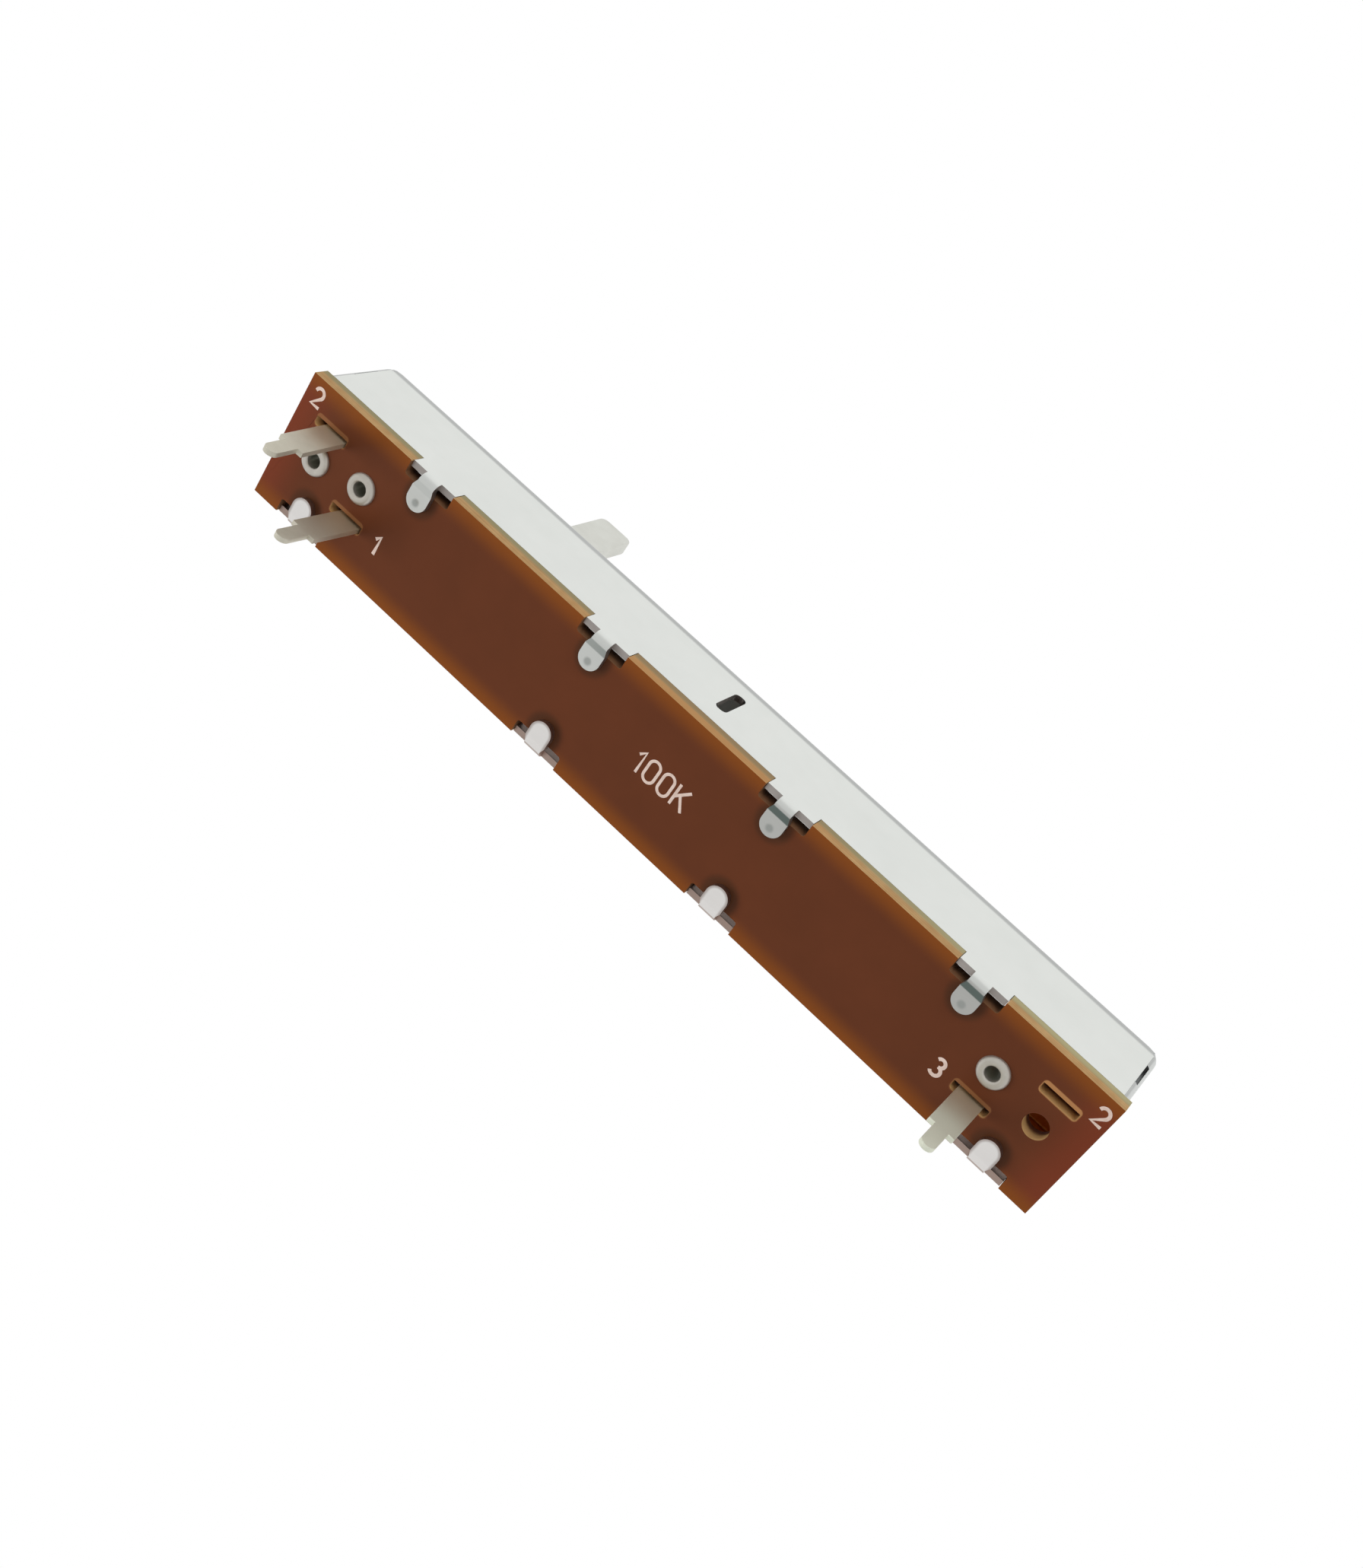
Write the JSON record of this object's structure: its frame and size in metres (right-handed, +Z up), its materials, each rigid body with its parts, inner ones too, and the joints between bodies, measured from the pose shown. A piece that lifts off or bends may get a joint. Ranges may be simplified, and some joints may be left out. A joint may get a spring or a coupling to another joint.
{
  "type": "slide potentiometer",
  "caption": "Straight slide potentiometer: folded steel case with a flat steel lever on top, closed below by a riveted phenolic board with solder blades.",
  "frame": {"origin": "midway between the two tapped panel holes, on the case's top face", "axes": "+X along the stroke, from terminals 1 and 2 towards terminal 3; +Z up, along the lever and out of the panel face; +Y across the body, so that the wall with the narrow upright slot is at -Y"},
  "size_m": [0.075, 0.0108, 0.0312],
  "materials": {
    "case_steel": "bright tin plate on folded steel, satin",
    "phenolic_board": "red-brown phenolic paper board, glossy face, tan cut edge",
    "carbon_print": "printed carbon film, matte black",
    "silver_print": "printed silver film, matte",
    "tinned_terminal": "tinned brass, satin",
    "eyelet_metal": "tinned brass eyelet, satin",
    "carriage_plastic": "moulded black acetal",
    "lever_steel": "zinc plated steel strip, satin",
    "contact_bronze": "spring bronze sheet, satin"
  },
  "bodies": {
    "housing": {"case": "case_steel", "element_board": "phenolic_board", "resistive_track": "carbon_print", "collector_track": "silver_print", "end_pad_1": "silver_print", "end_pad_3": "silver_print", "terminal_1": "tinned_terminal", "terminal_2": "tinned_terminal", "terminal_3": "tinned_terminal", "eyelet_1": "eyelet_metal", "eyelet_2": "eyelet_metal", "eyelet_3": "eyelet_metal"},
    "slider": {"slider_carriage": "carriage_plastic", "lever": "lever_steel", "wiper": "contact_bronze"}
  },
  "joints": [
    {"name": "lever_slide", "type": "slide", "parent": "housing", "child": "slider", "axis": [1, 0, 0], "range_m": [-0.00935, 0.05065]}
  ]
}
